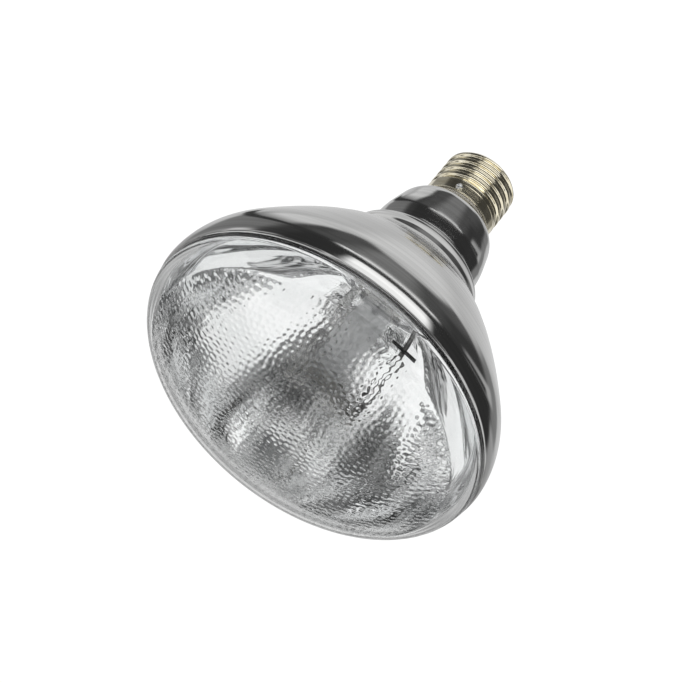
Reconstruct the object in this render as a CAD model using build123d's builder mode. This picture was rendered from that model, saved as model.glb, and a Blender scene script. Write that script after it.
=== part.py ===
from build123d import *
import math
import os

# Reptile ultraviolet bulb: a self-ballasted mercury lamp in a pressed glass reflector with a clear
# stippled front. Millimetres. The origin is the tip of the centre contact, on the lamp's axis, and
# +Z runs along the axis from the screw base to the front glass.

# Envelope: heights are taken from the lip of the screw shell and from the seam of the two glasses
base_height = 27.0  # contact tip to the lip of the screw shell
bowl_height = 88.8  # lip of the screw shell to the seam
lens_crown = 22.6  # seam to the top of the front glass
lens_wall = 3.4
seam_radius = 60.4
seam_land = 3.2  # width of the flat ring where the two glasses are fused
stipple_radius = 53.0  # edge of the stippled field
stipple_height = 0.5  # the field stands this much proud of the smooth border
bulge = 0.6  # the rim swells this much past the seam
bulge_drop = 3.0  # seam to the widest place
rim_turn = 18.0  # seam to where the bowl turns into the rim
bowl_focus = 17.63  # focal length of the bowl's outside
bowl_depth = 63.0  # seam to the vertex of the bowl's outside
bowl_wall = 2.8
collar_radius = 26.2  # step between the bowl and the neck
collar_height = 4.8  # vertex of the bowl's outside to the collar's lower edge
collar_bead = 0.4  # the collar's lower edge stands this much proud of the bowl's foot
collar_edge = 1.6
neck_foot = 3.0  # foot of the neck to the vertex of the bowl's outside
neck_fillet = 2.5
neck_taper = 0.8  # the neck is this much slimmer at its shoulder
neck_wall = 2.2
shoulder_rise = 7.4
neck_end_radius = 10.2  # the narrow end that stands in the screw shell
neck_end_wall = 1.5
neck_end_length = 9.6

# Screw base: a thread rolled in thin sheet, closed by a glass plug with the centre contact
thread_pitch = 3.629
crest_radius = 13.15
thread_depth = 1.0
crest_land = 1.179  # width of the thread's crest between two grooves
groove_floor = 1.0
shell_wall = 0.35
shell_foot = 6.0  # contact tip to the shell's turned-in end
foot_chamfer = 1.2
foot_opening = 9.8
plain_band = 6.2  # smooth stretch between the thread and the lip
lip_flare = 0.45
lip_band = 0.9
lip_gap = 0.1  # lip to the glass shoulder
plug_height = 2.6
plug_clearance = 0.1
nose_radius = 5.2
contact_radius = 4.7
contact_thick = 0.7
eyelet_radius = 1.6
eyelet_bore = 0.9
eyelet_depth = 2.0
solder_tip = 0.7
solder_radius = 2.4
solder_flat = 0.6  # share of the centre solder's radius over which it stays low
side_solder_radius = 1.7
side_solder_drop = 2.2  # lip to the middle of the side solder
side_angle = -69.4  # degrees from +X to the side solder
lead_radius = 0.35
lead_bend = 0.8
lead_clearance = 0.4
side_run_drop = 2.5  # neck end to the side lead's run across the base

# Stem: flare, tube, press and exhaust tube in one piece of glass, with the two stiff posts
stem_radius = 5.0
stem_wall = 1.0
flare_band = 1.4
flare_height = 6.0
stem_tube = 7.0
press_height = 10.0
press_blend = 3.0
press_width = 13.0
press_thick = 4.4
press_corner = 1.5
exhaust_radius = 1.7
exhaust_wall = 0.6
exhaust_length = 18.0
exhaust_hole = 0.8  # radius of the hole through which the bulb is pumped
post_radius = 0.9
post_spacing = 6.0  # between the posts where they leave the press
post_embed = 4.0
post_rise = 3.5
post_splay = 4.0
post_bend = 2.4
long_post_reach = 15.0
long_post_length = 71.0
short_post_reach = 9.5
short_post_length = 24.0
shield_margin = 2.0  # axis of the long post to the edge of the heat shield
shield_clearance = 0.6  # heat shield to the bore of the neck
shield_thick = 0.6
shield_lift = 11.0
post_clearance = 0.05

# Arc tube, its seals and leads
arc_lift = 26.0  # top of the stem press to the bottom of the arc tube's body
arc_radius = 6.5
arc_wall = 1.1
arc_body = 36.0
pinch_width = 11.0
pinch_thick = 3.0
pinch_corner = 1.0
pinch_length = 11.0
pinch_root = 3.0  # length of the pinch inside the body's dome
foil_width = 2.6
foil_thick = 0.14
foil_length = 5.5
foil_inset = 3.0
electrode_radius = 0.45
electrode_length = 12.0
coil_radius = 1.3
coil_length = 5.0
coil_inset = 0.8  # tip of the electrode to its coil
main_offset = -1.2  # upper electrode, beside the axis
probe_offset = 3.2
probe_radius = 0.3
probe_length = 8.5
arc_lead_radius = 0.4
arc_lead_bend = 1.2
arc_lead_rise = 2.4

# What the posts and the arc tube carry
clamp_wall = 0.5
clamp_height = 3.0
clamp_inset = 1.0  # end of the pinch to the clamp
clamp_clearance = 0.05
clamp_overrun = 1.2
disc_clearance = 0.6  # ceramic disc to the short post
disc_thick = 3.0
hook_radius = 0.3
hook_embed = 2.0
hook_bend = 0.7
hook_rise = 2.2
hook_clearance = 0.15
hook_angles = (40, 85, 130, 155, 205, 240)
filament_clearance = 0.4  # ring of the filament to the long post
filament_radius = 0.7
filament_turn = 270  # degrees of the open ring, from +X
clip_thick = 0.8
clip_margin = 0.15
weld_gap = 0.05
resistor_radius = 1.6
resistor_length = 16.0
resistor_cap = 0.15
resistor_cap_length = 2.5
resistor_pin = 4.0
getter_lift = 41.0  # top of the stem press to the getter strip
getter_width = 10.0
getter_height = 1.6
getter_thick = 0.8
getter_channel = 0.4

# Heights and radii that follow from the sizes above
seam_z = base_height + bowl_height
lens_bore = seam_radius - seam_land
lens_inside = lens_crown - lens_wall
stipple_edge = math.degrees(math.acos(stipple_radius / lens_bore))
bulb_radius = seam_radius + bulge
vertex_z = seam_z - bowl_depth
turn_z = seam_z - rim_turn
turn_radius = math.sqrt(4 * bowl_focus * (turn_z - vertex_z))
collar_z = vertex_z + collar_height
neck_foot_z = vertex_z - neck_foot
shield_radius = long_post_reach + shield_margin
neck_bore = shield_radius + shield_clearance  # the mount goes in through the neck
neck_radius = neck_bore + neck_wall
shoulder_radius = neck_radius - neck_taper
shell_bore = crest_radius - shell_wall
lip_share = (shell_bore - neck_end_radius) / (shoulder_radius - neck_end_radius)
shoulder_z = base_height + lip_gap + shoulder_rise * math.sqrt(1 - lip_share**2)
shoulder_low = shoulder_z - shoulder_rise
neck_end_bore = neck_end_radius - neck_end_wall
neck_end_z = shoulder_low - neck_end_length
groove_top = thread_pitch - crest_land
root_bore = crest_radius - thread_depth - shell_wall
thread_top = base_height - plain_band
contact_z = solder_tip + contact_thick
plug_z = shell_foot + shell_wall + plug_height
side_x = math.cos(math.radians(side_angle))
side_y = math.sin(math.radians(side_angle))
side_z = base_height - side_solder_drop
stem_z = neck_end_z + flare_band + flare_height
press_low = stem_z + stem_tube
press_top = press_low + press_height
splice_z = press_top - post_embed
exhaust_z = press_low - exhaust_length
shield_z = press_top + shield_lift
post_x = post_spacing / 2
post_y = pinch_thick / 2 + clamp_clearance - post_radius - weld_gap
splay_z = press_top + post_rise
long_post_top = press_top + long_post_length
short_post_top = press_top + short_post_length
arc_low = press_top + arc_lift
arc_high = arc_low + arc_body
pinch_low = arc_low - pinch_length
pinch_high = arc_high + pinch_length
lower_foil_z = pinch_low + foil_inset
upper_foil_z = pinch_high - foil_inset
disc_radius = short_post_reach - post_radius - disc_clearance
disc_z = pinch_low + clamp_inset + clamp_height
hook_z = disc_z + disc_thick / 2
filament_ring = long_post_reach - post_radius - filament_clearance - filament_radius
filament_z = hook_z + hook_radius + weld_gap + filament_radius
clip_half = filament_radius + clip_margin
resistor_z = short_post_top + resistor_pin
resistor_top = resistor_z + resistor_length
getter_z = press_top + getter_lift
pick = 0.01  # half the height of the slice in which an edge is looked for


def parabola_z(radius, focus, vertex):
    """Height of a parabola of revolution at a radius."""
    return vertex + radius**2 / (4 * focus)


def parabola_points(low_radius, high_radius, focus, vertex):
    """Poles of the quadratic curve that is the parabola from the high radius down to the low one."""
    pole_z = vertex + low_radius * high_radius / (4 * focus)
    return (
        (high_radius, parabola_z(high_radius, focus, vertex)),
        ((low_radius + high_radius) / 2, pole_z),
        (low_radius, parabola_z(low_radius, focus, vertex)),
    )


def inner_face(radius, focus, vertex, wall):
    """Radius and height one wall inside a parabola of revolution, square to its outer face."""
    lean = math.atan(radius / (2 * focus))
    return radius - wall * math.sin(lean), parabola_z(radius, focus, vertex) + wall * math.cos(lean)


def ellipse_poles(centre_z, half_width, half_height, start, end):
    """Poles of the cubic curve that follows an ellipse round the axis between two angles in degrees."""
    first = math.radians(start)
    last = math.radians(end)
    pull = 4 / 3 * math.tan((last - first) / 4)
    poles = []
    for angle, along in ((first, 0), (first, pull), (last, -pull), (last, 0)):
        across = math.cos(angle) - along * math.sin(angle)
        upward = math.sin(angle) + along * math.cos(angle)
        poles.append((round(half_width * across, 9), centre_z + half_height * upward))
    return poles


def bent_wire(points, radius, bend):
    """Round wire along straight runs joined by arcs of one bend radius."""
    with BuildPart() as wire:
        with BuildLine() as route:
            FilletPolyline(*points, radius=bend)
        with BuildSketch(Plane(origin=route.line @ 0, z_dir=route.line % 0)):
            Circle(radius)
        sweep(path=route.line)
    return wire.part


def rod(x, y, low, high, radius):
    """Straight round rod along Z between two heights."""
    with BuildPart() as straight:
        with BuildSketch(Plane.XY.offset(low)):
            with Locations((x, y)):
                Circle(radius)
        extrude(amount=high - low)
    return straight.part


def electrode(x, foil_end, direction):
    """Tungsten rod with a coil near its tip; direction is +1 where it points up and -1 where it points down."""
    tip = foil_end + direction * electrode_length
    coil_end = tip - direction * coil_inset
    coil_start = coil_end - direction * coil_length
    with BuildPart() as whole:
        with BuildSketch(Plane.XY.offset(foil_end)):
            with Locations((x, 0)):
                Circle(electrode_radius)
        extrude(amount=direction * electrode_length)
        with BuildSketch(Plane.XY.offset(coil_start)):
            with Locations((x, 0)):
                Circle(coil_radius)
        extrude(amount=coil_end - coil_start)
    return whole.part


def pinch_clamp(low, reach):
    """Strap round a pinch seal whose long side runs on to a post; the sign of reach is the post's side."""
    half_thick = pinch_thick / 2 + clamp_clearance
    arm_length = abs(reach) + clamp_overrun
    arm_middle = math.copysign(arm_length / 2, reach)
    hole = (pinch_width + 2 * clamp_clearance, 2 * half_thick)
    with BuildPart() as strap:
        with BuildSketch(Plane.XY.offset(low)):
            Rectangle(hole[0] + 2 * clamp_wall, hole[1] + 2 * clamp_wall)
            with Locations((arm_middle, half_thick + clamp_wall / 2)):
                Rectangle(arm_length, clamp_wall)
            Rectangle(*hole, mode=Mode.SUBTRACT)
        extrude(amount=clamp_height)
    return strap.part


def thread_groove(depth, top, floor):
    """Helical trapezium that opens outwards, from below the shell's foot up to the plain band."""
    low = shell_foot - thread_pitch
    reach = 2 * shell_wall
    slope = (top - floor) / (2 * depth)
    mouth = floor / 2 + slope * (depth + reach)
    with BuildPart() as groove:
        with BuildLine() as route:
            Helix(pitch=thread_pitch, height=thread_top - low, radius=crest_radius, center=(0, 0, low))
        with BuildSketch(Plane(origin=route.line @ 0, x_dir=(1, 0, 0), z_dir=route.line % 0)):
            Polygon((-depth, -floor / 2), (reach, -mouth), (reach, mouth), (-depth, floor / 2), align=None)
        sweep(path=route.line, is_frenet=True)
    return groove.part


os.makedirs("parts", exist_ok=True)

# Front glass: half an ellipse outside and inside, a flat ring at the seam, and the raised stippled field
with BuildPart() as lens:
    with BuildSketch(Plane.XZ):
        with BuildLine():
            crown = Bezier(*ellipse_poles(seam_z, seam_radius, lens_crown, 0, 90))
            border = Bezier(*ellipse_poles(seam_z, lens_bore, lens_inside, 0, stipple_edge))
            field = Bezier(*ellipse_poles(seam_z - stipple_height, lens_bore, lens_inside, stipple_edge, 90))
            Line(border @ 1, field @ 0)
            Line(field @ 1, crown @ 1)
            Line(border @ 0, crown @ 0)
        make_face()
    revolve(axis=Axis.Z)
lens.part.label = "lens"
export_step(lens.part, "parts/lens.step")

# Reflector: parabolic bowl with a swelling rim, a collar, the neck and the narrow end in the screw shell
mirror_low, mirror_low_z = inner_face(collar_radius, bowl_focus, vertex_z, bowl_wall)
mirror_radius, mirror_turn = inner_face(turn_radius, bowl_focus, vertex_z, bowl_wall)
mirror_focus = (mirror_radius**2 - mirror_low**2) / (4 * (mirror_turn - mirror_low_z))
mirror_vertex = mirror_turn - mirror_radius**2 / (4 * mirror_focus)
rim_pole = turn_z + (bulb_radius - turn_radius) * turn_radius / (2 * bowl_focus)
mirror_pole = mirror_turn + (lens_bore - mirror_radius) * mirror_radius / (2 * mirror_focus)
inner_shoulder = shoulder_radius - neck_wall - neck_end_bore
with BuildPart() as reflector:
    with BuildSketch(Plane.XZ):
        with BuildLine():
            Line((lens_bore, seam_z), (seam_radius, seam_z))
            widest = (bulb_radius, seam_z - bulge_drop)
            Bezier((seam_radius, seam_z), (bulb_radius, seam_z - bulge_drop / 2), widest)
            Bezier(widest, (bulb_radius, rim_pole), (turn_radius, turn_z))
            bowl = Bezier(*parabola_points(collar_radius, turn_radius, bowl_focus, vertex_z))
            Polyline(
                bowl @ 1,
                (collar_radius + collar_bead, collar_z),
                (neck_radius, neck_foot_z),
                (shoulder_radius, shoulder_z),
            )
            EllipticalCenterArc(
                (neck_end_radius, shoulder_z), shoulder_radius - neck_end_radius, shoulder_rise, 270
            )
            Polyline(
                (neck_end_radius, shoulder_low),
                (neck_end_radius, neck_end_z),
                (neck_end_bore, neck_end_z),
                (neck_end_bore, shoulder_low + neck_wall),
            )
            EllipticalCenterArc((neck_end_bore, shoulder_z), inner_shoulder, shoulder_rise - neck_wall, 270)
            mirror = Bezier(*parabola_points(neck_bore, mirror_radius, mirror_focus, mirror_vertex))
            Line((shoulder_radius - neck_wall, shoulder_z), mirror @ 1)
            Bezier(mirror @ 0, (lens_bore, mirror_pole), (lens_bore, seam_z))
        make_face()
    revolve(axis=Axis.Z)
    round_edges = reflector.edges().filter_by(GeomType.CIRCLE)
    fillet(round_edges.filter_by_position(Axis.Z, collar_z - pick, collar_z + pick), collar_edge)
    foot_edges = reflector.edges().filter_by(GeomType.CIRCLE)
    fillet(foot_edges.filter_by_position(Axis.Z, neck_foot_z - pick, neck_foot_z + pick), neck_fillet)
reflector.part.label = "reflector"
export_step(reflector.part, "parts/reflector.step")

# Side lead: down through the stem, under the neck end, up inside the shell and out below its lip
side_rise = neck_end_radius + lead_radius + lead_clearance
side_run_z = neck_end_z - side_run_drop
side_end = crest_radius + lead_radius
side_route = [
    (-post_x, 0, splice_z),
    (-post_x, 0, side_run_z),
    (side_rise * side_x, side_rise * side_y, side_run_z),
    (side_rise * side_x, side_rise * side_y, side_z),
    (side_end * side_x, side_end * side_y, side_z),
]
side_wire = bent_wire(side_route, lead_radius, lead_bend)
with BuildPart() as lead_wire_side:
    add(side_wire)
lead_wire_side.part.label = "lead_wire_side"
export_step(lead_wire_side.part, "parts/lead_wire_side.step")

# Centre lead: down through the stem, round the exhaust tip and through the plug to the centre solder
dip_z = exhaust_z - lead_clearance - 2 * lead_radius
centre_route = [(post_x, 0, splice_z), (post_x, 0, dip_z), (0, 0, plug_z + lead_bend), (0, 0, solder_tip)]
centre_wire = bent_wire(centre_route, lead_radius, lead_bend)
with BuildPart() as lead_wire_centre:
    add(centre_wire)
lead_wire_centre.part.label = "lead_wire_centre"
export_step(lead_wire_centre.part, "parts/lead_wire_centre.step")

# Screw shell: the same sheet inside and outside the thread, turned in at the foot and flared at the lip
flank_slope = (groove_top - groove_floor) / (2 * thread_depth)
flank_wall = shell_wall * math.sqrt(1 + flank_slope**2)
inner_floor = groove_floor + 2 * (flank_wall - flank_slope * shell_wall)
outer_groove = thread_groove(thread_depth, groove_top, groove_floor)
inner_groove = thread_groove(thread_depth + shell_wall, groove_top + 2 * flank_wall, inner_floor)
flare_z = base_height - lip_band
with BuildPart() as shell_core:
    with BuildSketch(Plane.XZ):
        with BuildLine():
            Polyline(
                (0, shell_foot + shell_wall),
                (root_bore, shell_foot + shell_wall),
                (shell_bore, shell_foot + shell_wall + foot_chamfer),
                (shell_bore, flare_z),
                (shell_bore + lip_flare, flare_z + lip_flare),
                (shell_bore + lip_flare, base_height),
                (0, base_height),
                close=True,
            )
        make_face()
    revolve(axis=Axis.Z)
    add(inner_groove, mode=Mode.SUBTRACT)
with BuildPart() as screw_shell:
    with BuildSketch(Plane.XZ):
        with BuildLine():
            Polyline(
                (foot_opening, shell_foot),
                (crest_radius - thread_depth, shell_foot),
                (crest_radius, shell_foot + foot_chamfer),
                (crest_radius, flare_z),
                (crest_radius + lip_flare, flare_z + lip_flare),
                (crest_radius + lip_flare, base_height),
                (foot_opening, base_height),
                close=True,
            )
        make_face()
    revolve(axis=Axis.Z)
    add(outer_groove, mode=Mode.SUBTRACT)
    add(shell_core.part, mode=Mode.SUBTRACT)
    add(side_wire, mode=Mode.SUBTRACT)
screw_shell.part.label = "screw_shell"
export_step(screw_shell.part, "parts/screw_shell.step")

# Glass plug: stands on the shell's turned-in foot and narrows to the seat of the centre contact
plug_radius = root_bore - plug_clearance
plug_waist = foot_opening - plug_clearance
plug_bore = lead_radius + lead_clearance
with BuildPart() as base_insulator:
    with BuildSketch(Plane.XZ):
        with BuildLine():
            Polyline(
                (eyelet_radius, contact_z),
                (nose_radius, contact_z),
                (plug_waist, shell_foot),
                (plug_waist, shell_foot + shell_wall),
                (plug_radius, shell_foot + shell_wall),
                (plug_radius, plug_z),
                (plug_bore, plug_z),
                (plug_bore, contact_z + eyelet_depth),
                (eyelet_radius, contact_z + eyelet_depth),
                close=True,
            )
        make_face()
    revolve(axis=Axis.Z)
base_insulator.part.label = "base_insulator"
export_step(base_insulator.part, "parts/base_insulator.step")

# Centre contact: a disc with an eyelet pressed into the plug
with BuildPart() as centre_contact:
    with BuildSketch(Plane.XZ):
        with BuildLine():
            Polyline(
                (eyelet_bore, solder_tip),
                (contact_radius, solder_tip),
                (contact_radius, contact_z),
                (eyelet_radius, contact_z),
                (eyelet_radius, contact_z + eyelet_depth),
                (eyelet_bore, contact_z + eyelet_depth),
                close=True,
            )
        make_face()
    revolve(axis=Axis.Z)
centre_contact.part.label = "centre_contact"
export_step(centre_contact.part, "parts/centre_contact.step")

# Centre solder: the low drop on the contact, which is the lowest point of the bulb
with BuildPart() as centre_solder:
    with BuildSketch(Plane.XZ):
        with BuildLine():
            Bezier((0, 0), (solder_flat * solder_radius, 0), (solder_radius, solder_tip))
            Polyline((solder_radius, solder_tip), (0, solder_tip), (0, 0))
        make_face()
    revolve(axis=Axis.Z)
centre_solder.part.label = "centre_solder"
export_step(centre_solder.part, "parts/centre_solder.step")

# Side solder: the drop below the lip where the side lead comes through the shell
with BuildPart() as side_solder:
    with Locations((crest_radius * side_x, crest_radius * side_y, side_z)):
        Sphere(side_solder_radius)
    with Locations((0, 0, side_z)):
        Cylinder(crest_radius, 4 * side_solder_radius, mode=Mode.SUBTRACT)
    with BuildSketch(Plane.XY.offset(flare_z)):
        Circle(crest_radius + side_solder_radius)
    extrude(amount=side_solder_radius, mode=Mode.SUBTRACT)
    add(side_wire, mode=Mode.SUBTRACT)
side_solder.part.label = "side_solder"
export_step(side_solder.part, "parts/side_solder.step")

# Basing cement: fills the plain band of the shell round the neck end
cement_low = thread_top + groove_top
with BuildPart() as basing_cement:
    with BuildSketch(Plane.XY.offset(cement_low)):
        Circle(shell_bore)
        Circle(neck_end_radius, mode=Mode.SUBTRACT)
    extrude(amount=flare_z - cement_low)
    add(side_wire, mode=Mode.SUBTRACT)
basing_cement.part.label = "basing_cement"
export_step(basing_cement.part, "parts/basing_cement.step")

# Posts: two stiff wires that splay inside the neck and stand up beside the arc tube
long_route = [
    (-post_x, 0, splice_z),
    (-post_x, 0, splay_z),
    (-long_post_reach, post_y, splay_z + post_splay),
    (-long_post_reach, post_y, long_post_top),
]
short_route = [
    (post_x, 0, splice_z),
    (post_x, 0, splay_z),
    (short_post_reach, post_y, splay_z + post_splay),
    (short_post_reach, post_y, short_post_top),
]
long_wire = bent_wire(long_route, post_radius, post_bend)
short_wire = bent_wire(short_route, post_radius, post_bend)
with BuildPart() as support_post_long:
    add(long_wire)
support_post_long.part.label = "support_post_long"
export_step(support_post_long.part, "parts/support_post_long.step")
with BuildPart() as support_post_short:
    add(short_wire)
support_post_short.part.label = "support_post_short"
export_step(support_post_short.part, "parts/support_post_short.step")

# Stem: the flare meets the neck end, the press holds the wires, and the exhaust tube is tipped off below
exhaust_bore = exhaust_radius - exhaust_wall
with BuildPart() as glass_stem:
    with BuildSketch(Plane.XZ):
        with BuildLine():
            Line((neck_end_bore - stem_wall, neck_end_z), (neck_end_bore, neck_end_z))
            Line((neck_end_bore, neck_end_z), (neck_end_bore, neck_end_z + flare_band))
            Bezier(
                (neck_end_bore, neck_end_z + flare_band),
                (stem_radius, neck_end_z + flare_band),
                (stem_radius, stem_z),
            )
            Polyline(
                (stem_radius, stem_z),
                (stem_radius, press_low),
                (stem_radius - stem_wall, press_low),
                (stem_radius - stem_wall, stem_z - stem_wall),
            )
            Bezier(
                (stem_radius - stem_wall, stem_z - stem_wall),
                (stem_radius - stem_wall, neck_end_z + flare_band - stem_wall),
                (neck_end_bore - stem_wall, neck_end_z),
            )
        make_face()
    revolve(axis=Axis.Z)
    with BuildSketch(Plane.XY.offset(press_low)):
        Circle(stem_radius)
    with BuildSketch(Plane.XY.offset(press_low + press_blend)):
        RectangleRounded(press_width, press_thick, press_corner)
    loft()
    with BuildSketch(Plane.XY.offset(press_low + press_blend)):
        RectangleRounded(press_width, press_thick, press_corner)
    extrude(amount=press_height - press_blend)
    with BuildSketch(Plane.XZ):
        with BuildLine():
            Line((0, exhaust_z), (0, press_low))
            Line((0, press_low), (exhaust_radius, press_low))
            Line((exhaust_radius, press_low), (exhaust_radius, exhaust_z + exhaust_radius))
            Bezier(*ellipse_poles(exhaust_z + exhaust_radius, exhaust_radius, exhaust_radius, -90, 0))
        make_face()
    revolve(axis=Axis.Z)
    with BuildSketch(Plane.XY.offset(exhaust_z + 2 * exhaust_radius)):
        Circle(exhaust_bore)
    extrude(amount=press_low + press_blend - exhaust_z - 2 * exhaust_radius, mode=Mode.SUBTRACT)
    with BuildSketch(Plane.XZ.offset(-stem_radius)):
        with Locations((0, press_low + press_blend / 2)):
            Circle(exhaust_hole)
    extrude(amount=stem_radius, mode=Mode.SUBTRACT)
    for sealed_in in (side_wire, centre_wire, long_wire, short_wire):
        add(sealed_in, mode=Mode.SUBTRACT)
glass_stem.part.label = "glass_stem"
export_step(glass_stem.part, "parts/glass_stem.step")

# Heat shield: a disc across the neck, carried by the posts
with BuildPart() as heat_shield:
    with BuildSketch(Plane.XY.offset(shield_z)):
        Circle(shield_radius)
        with Locations((-long_post_reach, post_y), (short_post_reach, post_y)):
            Circle(post_radius + post_clearance, mode=Mode.SUBTRACT)
    extrude(amount=shield_thick)
heat_shield.part.label = "heat_shield"
export_step(heat_shield.part, "parts/heat_shield.step")

# Electrodes and starting probe
upper_tungsten = electrode(main_offset, upper_foil_z - foil_length, -1)
lower_tungsten = electrode(0, lower_foil_z + foil_length, 1)
probe_top = upper_foil_z - foil_length
probe_rod = rod(probe_offset, 0, probe_top - probe_length, probe_top, probe_radius)
with BuildPart() as upper_electrode:
    add(upper_tungsten)
upper_electrode.part.label = "upper_electrode"
export_step(upper_electrode.part, "parts/upper_electrode.step")
with BuildPart() as lower_electrode:
    add(lower_tungsten)
lower_electrode.part.label = "lower_electrode"
export_step(lower_electrode.part, "parts/lower_electrode.step")
with BuildPart() as starting_probe:
    add(probe_rod)
starting_probe.part.label = "starting_probe"
export_step(starting_probe.part, "parts/starting_probe.step")

# Seal foils: thin strips in the pinches, between each electrode and its lead
with BuildPart() as seal_foils:
    with BuildSketch(Plane.XY.offset(upper_foil_z - foil_length)):
        with Locations((main_offset, 0), (probe_offset, 0)):
            Rectangle(foil_width, foil_thick)
    extrude(amount=foil_length)
    with BuildSketch(Plane.XY.offset(lower_foil_z)):
        Rectangle(foil_width, foil_thick)
    extrude(amount=foil_length)
seal_foils.part.label = "seal_foils"
export_step(seal_foils.part, "parts/seal_foils.step")

# Arc tube leads: to the long post, to the starting resistor and to the filament's far clip
lead_top = pinch_high + arc_lead_rise
main_top = max(pinch_high, long_post_top) + arc_lead_rise
main_route = [
    (main_offset, 0, upper_foil_z),
    (main_offset, 0, main_top),
    (-long_post_reach, post_y, main_top),
    (-long_post_reach, post_y, long_post_top),
]
probe_route = [
    (probe_offset, 0, upper_foil_z),
    (probe_offset, 0, lead_top),
    (short_post_reach, post_y, lead_top),
    (short_post_reach, post_y, resistor_top),
]
lead_low = pinch_low - arc_lead_rise
lower_route = [
    (0, 0, lower_foil_z),
    (0, 0, lead_low),
    (clip_thick / 2, -filament_ring, lead_low),
    (clip_thick / 2, -filament_ring, filament_z - clip_half),
]
lead_routes = [main_route, probe_route, lower_route]
lead_wires = [bent_wire(route, arc_lead_radius, arc_lead_bend) for route in lead_routes]
with BuildPart() as arc_tube_leads:
    add(lead_wires)
arc_tube_leads.part.label = "arc_tube_leads"
export_step(arc_tube_leads.part, "parts/arc_tube_leads.step")

# Arc tube: a hollow body with domed ends and a flat pinch seal at each end
with BuildPart() as arc_tube:
    with BuildSketch(Plane.XZ):
        with BuildLine():
            Bezier(*ellipse_poles(arc_high - arc_radius, arc_radius, arc_radius, 0, 90))
            Bezier(*ellipse_poles(arc_low + arc_radius, arc_radius, arc_radius, -90, 0))
            Line((arc_radius, arc_low + arc_radius), (arc_radius, arc_high - arc_radius))
            Line((0, arc_low), (0, arc_high))
        make_face()
    revolve(axis=Axis.Z)
    with BuildSketch(Plane.XY.offset(pinch_low), Plane.XY.offset(arc_high - pinch_root)):
        RectangleRounded(pinch_width, pinch_thick, pinch_corner)
    extrude(amount=pinch_length + pinch_root)
    bore_radius = arc_radius - arc_wall
    with BuildSketch(Plane.XZ):
        with BuildLine():
            Bezier(*ellipse_poles(arc_high - arc_radius, bore_radius, bore_radius, 0, 90))
            Bezier(*ellipse_poles(arc_low + arc_radius, bore_radius, bore_radius, -90, 0))
            Line((bore_radius, arc_low + arc_radius), (bore_radius, arc_high - arc_radius))
            Line((0, arc_low + arc_wall), (0, arc_high - arc_wall))
        make_face()
    revolve(axis=Axis.Z, mode=Mode.SUBTRACT)
    for sealed_in in (upper_tungsten, lower_tungsten, probe_rod, seal_foils.part, *lead_wires):
        add(sealed_in, mode=Mode.SUBTRACT)
arc_tube.part.label = "arc_tube"
export_step(arc_tube.part, "parts/arc_tube.step")

# Clamps: one strap from each pinch to a post
upper_strap = pinch_clamp(pinch_high - clamp_inset - clamp_height, -long_post_reach)
lower_strap = pinch_clamp(pinch_low + clamp_inset, short_post_reach)
with BuildPart() as upper_clamp:
    add(upper_strap)
upper_clamp.part.label = "upper_clamp"
export_step(upper_clamp.part, "parts/upper_clamp.step")
with BuildPart() as lower_clamp:
    add(lower_strap)
lower_clamp.part.label = "lower_clamp"
export_step(lower_clamp.part, "parts/lower_clamp.step")

# Filament hooks: wires that stand out of the ceramic disc under the filament and turn up outside it
hook_start = disc_radius - hook_embed
hook_end = filament_ring + filament_radius + hook_radius + hook_clearance
hook_wires = []
for angle in hook_angles:
    out_x = math.cos(math.radians(angle))
    out_y = math.sin(math.radians(angle))
    hook_route = [
        (hook_start * out_x, hook_start * out_y, hook_z),
        (hook_end * out_x, hook_end * out_y, hook_z),
        (hook_end * out_x, hook_end * out_y, hook_z + hook_rise),
    ]
    hook_wires.append(bent_wire(hook_route, hook_radius, hook_bend))
with BuildPart() as filament_hooks:
    add(hook_wires)
filament_hooks.part.label = "filament_hooks"
export_step(filament_hooks.part, "parts/filament_hooks.step")

# Filament insulator: a ceramic disc on the lower clamp, with a slot for the pinch
with BuildPart() as filament_insulator:
    with BuildSketch(Plane.XY.offset(disc_z)):
        Circle(disc_radius)
        Rectangle(pinch_width + 2 * clamp_clearance, pinch_thick + 2 * clamp_clearance, mode=Mode.SUBTRACT)
    extrude(amount=disc_thick)
    add(hook_wires, mode=Mode.SUBTRACT)
filament_insulator.part.label = "filament_insulator"
export_step(filament_insulator.part, "parts/filament_insulator.step")

# Ballast filament: an open ring as thick as its coil
with BuildPart() as ballast_filament:
    with BuildSketch(Plane.XZ):
        with Locations((filament_ring, filament_z)):
            Circle(filament_radius)
    revolve(axis=Axis.Z, revolution_arc=filament_turn)
ballast_filament.part.label = "ballast_filament"
export_step(ballast_filament.part, "parts/ballast_filament.step")

# Filament clips: tabs at the ring's two ends, on the short post and on the lower lead
clip_start = short_post_reach + math.sqrt(post_radius**2 - post_y**2) + weld_gap
clip_end = filament_ring + clip_half
with BuildPart() as filament_clips:
    with BuildSketch(Plane.XY.offset(filament_z - clip_half)):
        with Locations(((clip_start + clip_end) / 2, -clip_thick / 2)):
            Rectangle(clip_end - clip_start, clip_thick)
        with Locations((clip_thick / 2, -filament_ring)):
            Rectangle(clip_thick, 2 * clip_half)
    extrude(amount=2 * clip_half)
filament_clips.part.label = "filament_clips"
export_step(filament_clips.part, "parts/filament_clips.step")

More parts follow.
